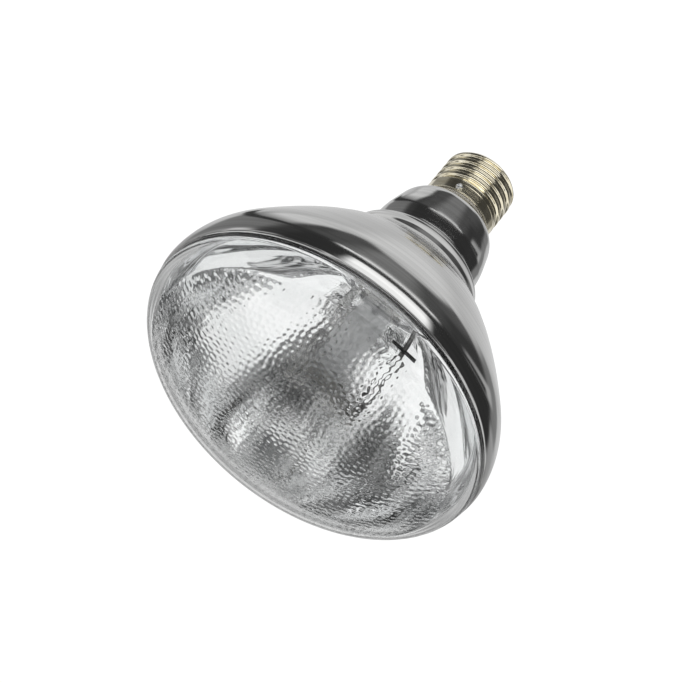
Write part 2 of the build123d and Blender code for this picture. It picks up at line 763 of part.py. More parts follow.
# Starting resistor: a capped rod on a pin that stands on the short post
with BuildPart() as starting_resistor:
    with BuildSketch(Plane.XY.offset(short_post_top)):
        with Locations((short_post_reach, post_y)):
            Circle(arc_lead_radius)
    extrude(amount=resistor_pin)
    with BuildSketch(Plane.XY.offset(resistor_z)):
        with Locations((short_post_reach, post_y)):
            Circle(resistor_radius)
    extrude(amount=resistor_length)
    with BuildSketch(Plane.XY.offset(resistor_z), Plane.XY.offset(resistor_top - resistor_cap_length)):
        with Locations((short_post_reach, post_y)):
            Circle(resistor_radius + resistor_cap)
    extrude(amount=resistor_cap_length)
starting_resistor.part.label = "starting_resistor"
export_step(starting_resistor.part, "parts/starting_resistor.step")

# Getter strip: a shallow channel across the long post
getter_face = post_y - post_radius - weld_gap
with BuildPart() as getter_strip:
    with BuildSketch(Plane.XZ.offset(-getter_face)):
        with Locations((-long_post_reach, getter_z)):
            Rectangle(getter_width, getter_height)
    extrude(amount=getter_thick)
    with BuildSketch(Plane.XZ.offset(getter_thick - getter_face)):
        with Locations((-long_post_reach, getter_z)):
            Rectangle(getter_width, getter_height - 2 * getter_channel)
    extrude(amount=-getter_channel, mode=Mode.SUBTRACT)
getter_strip.part.label = "getter_strip"
export_step(getter_strip.part, "parts/getter_strip.step")
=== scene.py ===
"""Looks of a reptile ultraviolet bulb: front glass, mirrored bowl, screw base, inner mount and studio.

Lengths of the bulb are in millimetres, and of the studio in metres.
"""

import logging
import math
from dataclasses import dataclass, field
from enum import Enum
from typing import Sequence

import bpy
import numpy as np
from mathutils import Matrix, Vector


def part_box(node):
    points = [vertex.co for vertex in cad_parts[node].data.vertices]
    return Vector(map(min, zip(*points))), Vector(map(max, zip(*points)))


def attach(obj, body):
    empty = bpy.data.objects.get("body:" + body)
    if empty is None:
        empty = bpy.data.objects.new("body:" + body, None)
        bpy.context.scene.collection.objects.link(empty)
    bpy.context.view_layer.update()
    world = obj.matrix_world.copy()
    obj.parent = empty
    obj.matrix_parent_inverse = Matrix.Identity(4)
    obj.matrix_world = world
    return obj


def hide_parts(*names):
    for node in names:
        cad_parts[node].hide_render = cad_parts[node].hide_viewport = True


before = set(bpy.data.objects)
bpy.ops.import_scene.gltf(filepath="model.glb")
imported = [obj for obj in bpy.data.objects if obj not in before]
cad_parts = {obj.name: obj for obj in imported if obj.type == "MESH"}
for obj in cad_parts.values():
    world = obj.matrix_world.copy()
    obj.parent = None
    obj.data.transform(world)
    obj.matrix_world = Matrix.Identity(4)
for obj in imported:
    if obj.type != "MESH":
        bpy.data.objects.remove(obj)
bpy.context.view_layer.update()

MM: float = 0.001
BODY: str = "root"
log = logging.getLogger("bulb")


class Side(Enum):
    """Which face of the bowl's glass a run of its section belongs to."""

    BACK = 0
    MIRROR = 1
    SEAM = 2


def ellipse_arc(
    centre_z: float, half_width: float, half_height: float, start: float, end: float, count: int,
    centre_r: float = 0.0,
) -> np.ndarray:
    """Points of an ellipse: radius is the half width times the cosine, height the half height times the sine.

    Args:
        centre_z: Height of the centre.
        half_width: Half the width.
        half_height: Half the height.
        start: First angle in degrees, from the radius direction.
        end: Last angle in degrees.
        count: Number of points.
        centre_r: Radius of the centre.

    Returns:
        Array of radius and height, one row a point.
    """
    angle = np.radians(np.linspace(start, end, count))
    return np.column_stack([centre_r + half_width * np.cos(angle), centre_z + half_height * np.sin(angle)])


def bezier_arc(start: Sequence[float], pole: Sequence[float], end: Sequence[float], count: int) -> np.ndarray:
    """Points of a quadratic curve: the weighted mean of its start, pole and end.

    Args:
        start: First point.
        pole: Point that pulls the curve.
        end: Last point.
        count: Number of points.

    Returns:
        Array of radius and height, one row a point.
    """
    t = np.linspace(0, 1, count)[:, None]
    return (1 - t) ** 2 * np.array(start) + 2 * t * (1 - t) * np.array(pole) + t**2 * np.array(end)


def parabola_arc(first: float, last: float, focus: float, vertex: float, count: int) -> np.ndarray:
    """Points of a parabola: the height rises with the square of the radius over four focal lengths.

    Args:
        first: Radius of the first point.
        last: Radius of the last point.
        focus: Focal length.
        vertex: Height of the vertex.
        count: Number of points.

    Returns:
        Array of radius and height, one row a point.
    """
    radius = np.linspace(first, last, count)
    return np.column_stack([radius, vertex + radius**2 / (4 * focus)])


def straight_run(start: Sequence[float], end: Sequence[float], count: int) -> np.ndarray:
    """Evenly spaced points from start to end.

    Args:
        start: First point.
        end: Last point.
        count: Number of points.

    Returns:
        Array with one row a point.
    """
    return np.linspace(np.array(start, float), np.array(end, float), count)


def even_spacing(points: np.ndarray, step: float) -> np.ndarray:
    """The same line with points a step apart along its length.

    Args:
        points: Points of the line.
        step: Distance between neighbours.

    Returns:
        Array of the new points.
    """
    length = np.concatenate([[0], np.cumsum(np.linalg.norm(np.diff(points, axis=0), axis=1))])
    keep = np.concatenate([[True], np.diff(length) > 1e-9])
    where = np.linspace(0, length[-1], max(3, int(round(length[-1] / step)) + 1))
    return np.column_stack([np.interp(where, length[keep], points[keep, i]) for i in range(points.shape[1])])


def rounded(points: np.ndarray, reach: int) -> np.ndarray:
    """A line with rounded corners: each point becomes the bell-weighted mean of its neighbours, ends kept.

    Args:
        points: Evenly spaced points.
        reach: Neighbours on each side that count.

    Returns:
        Array of the rounded points.
    """
    offset = np.arange(-reach, reach + 1)
    weight = np.exp(-2 * (offset / reach) ** 2)
    weight /= weight.sum()
    before = 2 * points[0] - points[reach:0:-1]
    after = 2 * points[-1] - points[-2:-reach - 2:-1]
    padded = np.vstack([before, points, after])
    return np.column_stack([np.convolve(padded[:, i], weight, mode="valid") for i in range(points.shape[1])])


def mesh_object(
    name: str, points: np.ndarray, quads: np.ndarray, triangles: np.ndarray | None = None
) -> bpy.types.Object:
    """A smooth mesh from whole arrays, turned so that its faces point outwards.

    Args:
        name: Name of the piece.
        points: Vertices in millimetres.
        quads: Rows of four vertex numbers.
        triangles: Rows of three vertex numbers, as at a pole.

    Returns:
        The new object, at the origin.
    """
    quads = np.asarray(quads, np.int64).reshape(-1, 4)
    triangles = np.zeros((0, 3), np.int64) if triangles is None else np.asarray(triangles, np.int64)
    split = np.vstack([quads[:, [0, 1, 2]], quads[:, [0, 2, 3]], triangles])
    a, b, c = points[split[:, 0]], points[split[:, 1]], points[split[:, 2]]
    if np.einsum("ij,ij->i", a, np.cross(b, c)).sum() < 0:
        quads, triangles = quads[:, ::-1], triangles[:, ::-1]
    loops = np.concatenate([quads.ravel(), triangles.ravel()]).astype(np.int32)
    sizes = np.concatenate([np.full(len(quads), 4), np.full(len(triangles), 3)]).astype(np.int32)
    starts = np.concatenate([[0], np.cumsum(sizes)[:-1]]).astype(np.int32)
    mesh = bpy.data.meshes.new(name)
    mesh.vertices.add(len(points))
    mesh.vertices.foreach_set("co", (np.asarray(points, np.float64) * MM).astype(np.float32).ravel())
    mesh.loops.add(len(loops))
    mesh.loops.foreach_set("vertex_index", loops)
    mesh.polygons.add(len(sizes))
    mesh.polygons.foreach_set("loop_start", starts)
    mesh.polygons.foreach_set("use_smooth", np.full(len(sizes), True))
    mesh.update(calc_edges=True)
    mesh.validate()
    piece = bpy.data.objects.new(name, mesh)
    bpy.context.scene.collection.objects.link(piece)
    return piece


def grid_quads(rows: int, columns: int, closed: bool) -> np.ndarray:
    """Quads between neighbours of closed rings of vertices that are numbered ring by ring.

    Args:
        rows: Number of rings.
        columns: Number of vertices in a ring.
        closed: Whether the last ring joins the first.

    Returns:
        Array of four vertex numbers a quad.
    """
    i, j = np.meshgrid(np.arange(rows if closed else rows - 1), np.arange(columns), indexing="ij")
    down, right = (i + 1) % rows, (j + 1) % columns
    corners = [i * columns + j, i * columns + right, down * columns + right, down * columns + j]
    return np.stack(corners, axis=-1).reshape(-1, 4)


def fan(ring: np.ndarray, tip: int) -> np.ndarray:
    """Triangles from each edge of a closed ring to one vertex.

    Args:
        ring: Vertex numbers round the ring.
        tip: Number of the vertex that closes it.

    Returns:
        Array of three vertex numbers a triangle.
    """
    return np.stack([ring, np.roll(ring, -1), np.full(len(ring), tip)], axis=-1)


def circled(radius: np.ndarray, height: np.ndarray, angle: np.ndarray) -> np.ndarray:
    """Rings round the axis: the radius times the cosine, the radius times the sine, and the height.

    Args:
        radius: Radii, one row a ring, in one column or a column for each angle.
        height: Heights, one row a ring, in one column.
        angle: Angles round the axis.

    Returns:
        Points in rows of three, ring by ring.
    """
    level = np.repeat(height, len(angle), axis=1)
    return np.stack([radius * np.cos(angle), radius * np.sin(angle), level], axis=-1).reshape(-1, 3)


def revolved(
    name: str, section: np.ndarray, segments: int, waver: np.ndarray | float = 0.0
) -> bpy.types.Object:
    """A section turned round an upright axis: each point's radius is carried round the circle at its height.

    A section whose ends lie on the axis closes there in a pole; any other section is a closed ring.

    Args:
        name: Name of the piece.
        section: Radius and height in millimetres, one row a point.
        segments: Number of segments round the axis.
        waver: Radius to add at each point of a section without poles, or 0.

    Returns:
        The new object.
    """
    poles = section[0, 0] == 0 and section[-1, 0] == 0
    rings = section[1:-1] if poles else section
    angle = np.linspace(0, 2 * np.pi, segments, endpoint=False)
    points = circled(rings[:, :1] + waver, rings[:, 1:], angle)
    quads = grid_quads(len(rings), segments, not poles)
    if not poles:
        return mesh_object(name, points, quads)
    number = np.arange(len(points)).reshape(-1, segments)
    caps = [fan(number[0, ::-1], len(points)), fan(number[-1], len(points) + 1)]
    tips = [(0, 0, section[0, 1]), (0, 0, section[-1, 1])]
    return mesh_object(name, np.vstack([points, tips]), quads, np.vstack(caps))


def carried(name: str, path: np.ndarray, radius: float, sides: int) -> bpy.types.Object:
    """A round wire: a circle carried along a path, square to the path's direction, with closed ends.

    The circle's two directions are the path's direction crossed with one fixed direction, and crossed again.

    Args:
        name: Name of the piece.
        path: Points of the path in millimetres.
        radius: Radius of the wire.
        sides: Number of sides of the circle.

    Returns:
        The new object.
    """
    along = np.gradient(path, axis=0)
    along /= np.linalg.norm(along, axis=1, keepdims=True)
    fixed = np.eye(3)[int(np.argmin(np.abs(along).mean(axis=0)))]
    first = np.cross(along, fixed)
    first /= np.linalg.norm(first, axis=1, keepdims=True)
    second = np.cross(along, first)
    angle = np.linspace(0, 2 * np.pi, sides, endpoint=False)
    ring = first[:, None] * np.cos(angle)[:, None] + second[:, None] * np.sin(angle)[:, None]
    points = (path[:, None] + radius * ring).reshape(-1, 3)
    quads = grid_quads(len(path), sides, False)
    number = np.arange(len(points)).reshape(-1, sides)
    caps = [fan(number[0, ::-1], len(points)), fan(number[-1], len(points) + 1)]
    return mesh_object(name, np.vstack([points, path[:1], path[-1:]]), quads, np.vstack(caps))


@dataclass(frozen=True)
class Finish:
    """A surface finish: two tones, a roughness and a relief that follow one grain, and fixed shader values.

    The grain is a noise in the piece's own coordinates, stretched by the three grain scales.
    """

    name: str
    tone: tuple[float, float, float]
    other_tone: tuple[float, float, float]
    roughness: tuple[float, float]
    grain: tuple[float, float, float]
    relief: float = 0.0
    metallic: float = 0.0
    ior: float = 1.5
    coat: float = 0.0
    transmission: float = 0.0

    def material(self) -> bpy.types.Material:
        """Builds the node material of this finish, or gives it back if it exists.

        Returns:
            The material.
        """
        made = bpy.data.materials.get(self.name)
        if made is not None:
            return made
        made = bpy.data.materials.new(self.name)
        made.use_nodes = True
        nodes, links = made.node_tree.nodes, made.node_tree.links
        shader = nodes["Principled BSDF"]
        place = nodes.new("ShaderNodeTexCoord")
        stretch = nodes.new("ShaderNodeMapping")
        stretch.inputs["Scale"].default_value = self.grain
        noise = nodes.new("ShaderNodeTexNoise")
        noise.inputs["Scale"].default_value = 1.0
        noise.inputs["Detail"].default_value = 4.0
        links.new(place.outputs["Object"], stretch.inputs["Vector"])
        links.new(stretch.outputs["Vector"], noise.inputs["Vector"])
        grain = nodes.new("ShaderNodeMapRange")
        grain.inputs["From Min"].default_value = 0.3
        grain.inputs["From Max"].default_value = 0.7
        links.new(noise.outputs["Fac"], grain.inputs["Value"])
        tones = nodes.new("ShaderNodeMix")
        tones.data_type = "RGBA"
        tones.inputs["A"].default_value = (*self.tone, 1.0)
        tones.inputs["B"].default_value = (*self.other_tone, 1.0)
        links.new(grain.outputs["Result"], tones.inputs["Factor"])
        links.new(tones.outputs["Result"], shader.inputs["Base Color"])
        gloss = nodes.new("ShaderNodeMapRange")
        gloss.inputs["To Min"].default_value = self.roughness[0]
        gloss.inputs["To Max"].default_value = self.roughness[1]
        links.new(grain.outputs["Result"], gloss.inputs["Value"])
        links.new(gloss.outputs["Result"], shader.inputs["Roughness"])
        if self.relief:
            bump = nodes.new("ShaderNodeBump")
            bump.inputs["Strength"].default_value = 1.0
            bump.inputs["Distance"].default_value = self.relief * MM
            links.new(noise.outputs["Fac"], bump.inputs["Height"])
            links.new(bump.outputs["Normal"], shader.inputs["Normal"])
        shader.inputs["Metallic"].default_value = self.metallic
        shader.inputs["IOR"].default_value = self.ior
        shader.inputs["Coat Weight"].default_value = self.coat
        shader.inputs["Transmission Weight"].default_value = self.transmission
        return made


CLEAR_GLASS = Finish(
    "clear_glass", (1.0, 1.0, 1.0), (0.97, 0.985, 0.98), (0.0, 0.004), (60, 60, 60), transmission=1.0
)
QUARTZ = Finish(
    "quartz", (1.0, 1.0, 1.0), (0.96, 0.97, 0.98), (0.0, 0.02), (300, 300, 60), ior=1.46, transmission=1.0
)
RESISTOR = Finish(
    "resistor_sleeve", (0.93, 0.93, 0.92), (0.8, 0.8, 0.79), (0.01, 0.06), (300, 300, 60), transmission=0.92
)
SEAM_GLASS = Finish("seam_glass", (0.96, 0.96, 0.95), (0.9, 0.9, 0.9), (0.35, 0.6), (200, 200, 200), 0.02)
PLUG_GLASS = Finish(
    "plug_glass", (0.012, 0.012, 0.014), (0.03, 0.028, 0.03), (0.05, 0.16), (300, 300, 300), 0.02
)
CEMENT = Finish("cement", (0.74, 0.69, 0.6), (0.6, 0.55, 0.46), (0.8, 0.95), (500, 500, 500), 0.08)
STEATITE = Finish("steatite", (0.93, 0.92, 0.89), (0.85, 0.84, 0.8), (0.4, 0.6), (600, 600, 600), 0.03)
GETTER = Finish("getter_metal", (0.2, 0.2, 0.2), (0.1, 0.1, 0.1), (0.45, 0.7), (800, 800, 800), 0.03, 0.8)
BACK_FILM = Finish(
    "back_film", (0.53, 0.53, 0.525), (0.4, 0.4, 0.395), (0.04, 0.14), (14, 14, 700), 0.006, 1.0, coat=0.3
)
MIRROR_FILM = Finish(
    "mirror_film", (0.9, 0.9, 0.9), (0.86, 0.865, 0.87), (0.01, 0.03), (40, 40, 40), metallic=1.0
)
SHELL_METAL = Finish(
    "shell_metal", (0.95, 0.9, 0.74), (0.7, 0.63, 0.45), (0.04, 0.12), (300, 300, 1500), 0.002, 1.0
)
CONTACT_BRASS = Finish(
    "contact_brass", (0.78, 0.6, 0.32), (0.6, 0.44, 0.22), (0.22, 0.4), (600, 600, 600), 0.01, 1.0
)
SOLDER = Finish("solder", (0.86, 0.84, 0.78), (0.5, 0.48, 0.44), (0.08, 0.28), (500, 500, 500), 0.05, 1.0)
COPPER = Finish("copper", (0.8, 0.48, 0.32), (0.62, 0.35, 0.22), (0.2, 0.4), (900, 900, 200), 0.01, 1.0)
NICKEL_WIRE = Finish(
    "nickel_wire", (0.5, 0.49, 0.47), (0.34, 0.33, 0.31), (0.2, 0.4), (900, 900, 200), 0.01, 1.0
)
POST_STEEL = Finish(
    "post_steel", (0.2, 0.2, 0.19), (0.12, 0.12, 0.12), (0.25, 0.45), (900, 900, 200), 0.01, 1.0
)
SHIELD_SHEET = Finish(
    "shield_sheet", (0.95, 0.95, 0.95), (0.84, 0.84, 0.85), (0.06, 0.2), (60, 900, 60), 0.01, 1.0
)
TUNGSTEN = Finish("tungsten", (0.26, 0.26, 0.27), (0.14, 0.14, 0.15), (0.3, 0.5), (900, 900, 900), 0.01, 1.0)
SEAL_FOIL = Finish("seal_foil", (0.5, 0.5, 0.52), (0.38, 0.38, 0.4), (0.25, 0.4), (700, 700, 700), 0.005, 1.0)
STRAP = Finish(
    "strap_metal", (0.58, 0.57, 0.54), (0.42, 0.41, 0.39), (0.22, 0.42), (200, 900, 900), 0.01, 1.0
)


def dress(piece: bpy.types.Object, slot: str, finishes: Sequence[Finish], *nodes: str) -> bpy.types.Object:
    """Gives a new piece its materials and its body, and hides the nodes that it stands for.

    Args:
        piece: The piece.
        slot: The record's material slot; not used.
        finishes: Finishes in the order of the piece's material numbers.
        nodes: CAD nodes that the piece replaces.

    Returns:
        The same piece.
    """
    for finish in finishes:
        piece.data.materials.append(finish.material())
    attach(piece, BODY)
    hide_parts(*nodes)
    log.info("%s: %d faces", piece.name, len(piece.data.polygons))
    return piece


@dataclass
class FrontGlass:
    """Pressed front glass: a smooth dome outside, offset rows of small bumps inside and a smooth border."""

    seam_radius: float
    seam_z: float
    crown: float
    wall: float = 3.4
    land: float = 3.2
    stipple_radius: float = 53.0
    field_rise: float = 0.25
    stipple_height: float = 0.13
    stipple_pitch: float = 2.4
    stipple_fade: float = 1.6
    row_pull: float = 0.5
    bump_pull: float = 0.22
    bump_spread: float = 0.45
    cells: int = 248

    def stipple(self, x: np.ndarray, y: np.ndarray) -> np.ndarray:
        """Rise of the field: the mean of three plane waves at sixty degrees gives offset rows of round bumps.

        Slow waves pull the rows a little out of line and make some bumps lower than others.

        Args:
            x: Places along X in millimetres.
            y: Places along Y in millimetres.

        Returns:
            Rise in millimetres, fading to 0 at the edge of the field.
        """
        pulled_x = x + self.row_pull * np.sin(0.43 * y + 0.19 * x + 1)
        pulled_x = pulled_x + self.bump_pull * np.sin(1.3 * x - 0.7 * y)
        pulled_y = y + self.row_pull * np.sin(0.37 * x - 0.23 * y + 2)
        pulled_y = pulled_y + self.bump_pull * np.sin(1.1 * y + 0.9 * x + 3)
        wave = 4 * np.pi / (math.sqrt(3) * self.stipple_pitch)
        total = np.zeros_like(x)
        for turn in (0, 60, 120):
            direction = math.radians(turn)
            total += np.cos(wave * (pulled_x * math.cos(direction) + pulled_y * math.sin(direction)))
        bumps = (total / 3 + 0.5) / 1.5
        uneven = 1 + self.bump_spread * np.sin(0.9 * x + 1.7 * y) * np.sin(1.5 * x - 0.8 * y + 1)
        edge = np.clip((self.stipple_radius - np.hypot(x, y)) / self.stipple_fade, 0, 1)
        return (self.field_rise + self.stipple_height * bumps * uneven) * edge * edge * (3 - 2 * edge)

    def field_points(self) -> np.ndarray:
        """Inside of the dome as a square grid pulled to a disc.

        The larger coordinate becomes the radius, and the ratio of the two the angle.
        The height is an ellipse of revolution less the bumps.

        Returns:
            Grid of points, rows by columns by three.
        """
        side = np.linspace(-1, 1, self.cells + 1)
        u, v = np.meshgrid(side, side, indexing="xy")
        wide = np.abs(u) >= np.abs(v)
        with np.errstate(divide="ignore", invalid="ignore"):
            angle = np.where(wide, np.pi / 4 * v / u, np.pi / 2 - np.pi / 4 * u / v)
        angle = np.nan_to_num(angle)
        radius = np.where(wide, u, v) * self.stipple_radius
        x, y = radius * np.cos(angle), radius * np.sin(angle)
        bore = self.seam_radius - self.land
        dome = (self.crown - self.wall) * np.sqrt(1 - (radius / bore) ** 2)
        return np.stack([x, y, self.seam_z + dome - self.stipple(x, y)], axis=-1)

    def build(self) -> bpy.types.Object:
        """Joins the bumpy field, the smooth border, the ring at the seam and the outer dome into one mesh.

        Returns:
            The piece.
        """
        n = self.cells
        field_grid = self.field_points()
        number = np.arange((n + 1) ** 2).reshape(n + 1, n + 1)
        loop = np.concatenate([number[0, :-1], number[:-1, -1], number[-1, :0:-1], number[:0:-1, 0]])
        flat = field_grid.reshape(-1, 3)
        angle = np.arctan2(flat[loop, 1], flat[loop, 0])
        bore, inside = self.seam_radius - self.land, self.crown - self.wall
        edge = math.degrees(math.acos(self.stipple_radius / bore))
        border = ellipse_arc(self.seam_z, bore, inside, edge, 0, 8)[1:]
        ring = straight_run(border[-1], (self.seam_radius, self.seam_z), 4)[1:-1]
        dome = ellipse_arc(self.seam_z, self.seam_radius, self.crown, 0, 90, 26)[:-1]
        section = np.vstack([border, ring, dome])
        round_points = circled(section[:, :1], section[:, 1:], angle)
        apex = np.array([[0, 0, self.seam_z + self.crown]])
        points = np.vstack([flat, round_points, apex])
        rows = np.vstack([loop, len(flat) + np.arange(len(section) * len(loop)).reshape(len(section), -1)])
        after = np.roll(rows, -1, axis=1)
        sides = np.stack([rows[:-1], after[:-1], after[1:], rows[1:]], axis=-1).reshape(-1, 4)
        inner = np.stack([number[:-1, :-1], number[1:, :-1], number[1:, 1:], number[:-1, 1:]], axis=-1)
        quads = np.vstack([sides, inner.reshape(-1, 4)])
        piece = mesh_object("front_glass", points, quads, fan(rows[-1], len(points) - 1))
        return dress(piece, "lens_glass", [CLEAR_GLASS], "lens")


@dataclass
class Bowl:
    """Mirrored glass bowl with its rim, collar, neck, shoulder and the narrow end in the screw shell."""

    seam_radius: float
    seam_z: float
    bulb_radius: float
    neck_end_z: float
    land: float = 3.2
    bulge_drop: float = 3.0
    rim_turn: float = 18.0
    focus: float = 17.63
    depth: float = 63.0
    wall: float = 2.8
    mirror_foot: float = 26.2
    split_z: float = 90.0
    leans: tuple[tuple[float, float], ...] = (
        *((34.4, 13.0), (39.0, 13.0), (42.5, 7.0), (44.6, 4.0), (45.4, 0.3), (51.2, 0.3)),  # neck
        *((52.0, 50.0), (55.0, 50.0), (55.8, 8.0), (56.2, 8.0)),  # flare and lower step
        *((57.0, 30.0), (59.6, 29.0), (60.6, 14.0), (62.2, 14.0)),  # collar
        *((63.6, 40.0), (66.0, 47.0)),  # foot of the bowl
    )
    neck_radius: float = 19.8
    shoulder_radius: float = 18.4
    shoulder_start: float = -13.0
    neck_wall: float = 2.2
    shoulder_rise: float = 8.6
    shoulder_low: float = 27.8
    neck_end_radius: float = 10.2
    neck_end_wall: float = 1.5
    step: float = 0.4
    wide_step: float = 1.0
    segments: int = 256
    ripple: float = 0.035
    ripple_z: float = 74.0
    ripple_reach: float = 9.0
    waver: float = 0.016
    waver_z: float = 50.0
    waver_reach: float = 19.0
    seam_gap: float = 0.02

    def neck(self, start: np.ndarray, end_radius: float) -> np.ndarray:
        """Neck and collar: the radius is the running sum of the lean at each height.

        The lean is the surface's angle from upright. The sum is scaled so that the last point meets the bowl.

        Args:
            start: Radius and height where the shoulder ends.
            end_radius: Radius where the bowl takes over.

        Returns:
            Radius and height from the shoulder up to the bowl.
        """
        heights, angles = np.array(self.leans).T
        height = np.linspace(start[1], heights[-1], 200)
        slope = np.tan(np.radians(np.interp(height, heights, angles)))
        run = np.concatenate([[0], np.cumsum((slope[1:] + slope[:-1]) / 2 * np.diff(height))])
        return np.column_stack([start[0] + run * (end_radius - start[0]) / run[-1], height])

    def outside(self) -> np.ndarray:
        """Section of the outside: rim curve, parabola, stepped collar, neck and the ellipse of the shoulder.

        Returns:
            Radius and height from the seam down to the neck end.
        """
        vertex, turn_z = self.seam_z - self.depth, self.seam_z - self.rim_turn
        marks = (turn_z, self.split_z, self.leans[-1][0])
        turn, split, foot = (math.sqrt(4 * self.focus * (z - vertex)) for z in marks)
        pole = turn_z + (self.bulb_radius - turn) * turn / (2 * self.focus)
        widest = (self.bulb_radius, self.seam_z - self.bulge_drop)
        seam = (self.seam_radius, self.seam_z - self.seam_gap)
        upper = np.vstack(
            [
                bezier_arc(seam, (self.bulb_radius, self.seam_z - self.bulge_drop / 2), widest, 12),
                bezier_arc(widest, (self.bulb_radius, pole), (turn, turn_z), 40),
                parabola_arc(turn, split, self.focus, vertex, 30),
            ]
        )
        half_width = self.shoulder_radius - self.neck_end_radius
        shoulder_z = self.shoulder_low + self.shoulder_rise
        shoulder = ellipse_arc(
            shoulder_z, half_width, self.shoulder_rise, self.shoulder_start, -90, 40, self.neck_end_radius
        )
        bowl = parabola_arc(split, foot, self.focus, vertex, 60)
        lower = np.vstack([bowl, self.neck(shoulder[0], foot)[::-1], shoulder])
        lower = rounded(even_spacing(lower, self.step), 2)
        height = lower[:, 1]
        bands = np.sin(1.3 * height) + 0.6 * np.sin(2.9 * height + 1) + 0.45 * np.sin(4.7 * height + 2)
        lower[:, 0] += self.ripple * bands * np.exp(-(((height - self.ripple_z) / self.ripple_reach) ** 4))
        return np.vstack([even_spacing(upper, self.wide_step)[:-1], lower])

    def unevenness(self, height: np.ndarray) -> np.ndarray:
        """Slight waver of neck and collar: three waves that wind round the axis at different pitches.

        Args:
            height: Heights of the section's points.

        Returns:
            Radius to add, one row a height and one column a segment, fading out above and below.
        """
        angle = np.linspace(0, 2 * np.pi, self.segments, endpoint=False)
        z = height[:, None]
        waves = np.sin(2 * angle + 0.5 * z) + 0.7 * np.sin(5 * angle - 0.35 * z + 1)
        waves = waves + 0.4 * np.sin(9 * angle + 0.8 * z)
        return self.waver * waves * np.exp(-(((z - self.waver_z) / self.waver_reach) ** 8))

    def inside(self) -> np.ndarray:
        """Section of the inside from neck end to seam: shoulder, neck, mirror parabola and rim curve.

        Returns:
            Radius and height.
        """
        vertex, turn_z = self.seam_z - self.depth, self.seam_z - self.rim_turn
        turn = math.sqrt(4 * self.focus * (turn_z - vertex))
        radius = np.array([self.mirror_foot, turn])
        lean = np.arctan(radius / (2 * self.focus))
        inner = radius - self.wall * np.sin(lean)
        inner_z = vertex + radius**2 / (4 * self.focus) + self.wall * np.cos(lean)
        focus = (inner[1] ** 2 - inner[0] ** 2) / (4 * (inner_z[1] - inner_z[0]))
        mirror_vertex = inner_z[1] - inner[1] ** 2 / (4 * focus)
        bore = self.seam_radius - self.land
        pole = inner_z[1] + (bore - inner[1]) * inner[1] / (2 * focus)
        neck_bore = self.neck_radius - self.neck_wall
        end_bore = self.neck_end_radius - self.neck_end_wall
        shoulder_z = self.shoulder_low + self.shoulder_rise
        shoulder_bore = self.shoulder_radius - self.neck_wall
        mirror = parabola_arc(neck_bore, inner[1], focus, mirror_vertex, 120)
        width, rise = shoulder_bore - end_bore, self.shoulder_rise - self.neck_wall
        end = straight_run((end_bore, self.neck_end_z), (end_bore, self.shoulder_low + self.neck_wall), 12)
        shoulder = ellipse_arc(shoulder_z, width, rise, -90, 0, 24, end_bore)
        neck = straight_run((shoulder_bore, shoulder_z), mirror[0], 24)
        rim = bezier_arc(mirror[-1], (bore, pole), (bore, self.seam_z - self.seam_gap), 30)
        return even_spacing(np.vstack([end, shoulder, neck, mirror, rim]), self.wide_step)

    def build(self) -> bpy.types.Object:
        """Turns the closed section round the axis and marks the faces as back, mirror or fused seam.

        Returns:
            The piece.
        """
        outside, inside = self.outside(), self.inside()
        end = straight_run(outside[-1], (self.neck_end_radius, self.neck_end_z), 10)[1:]
        section = np.vstack([outside, end, inside])
        first_inner = len(outside) + len(end)
        waver = self.unevenness(section[:, 1])
        waver[first_inner:] = 0
        piece = revolved("bowl", section, self.segments, waver=waver)
        row = np.arange(len(piece.data.polygons)) // self.segments
        side = np.where(row >= first_inner, Side.MIRROR.value, Side.BACK.value)
        side[row == len(section) - 1] = Side.SEAM.value
        dress(piece, "mirror_glass", [BACK_FILM, MIRROR_FILM, SEAM_GLASS], "reflector")
        piece.data.polygons.foreach_set("material_index", side.astype(np.int32))
        return piece


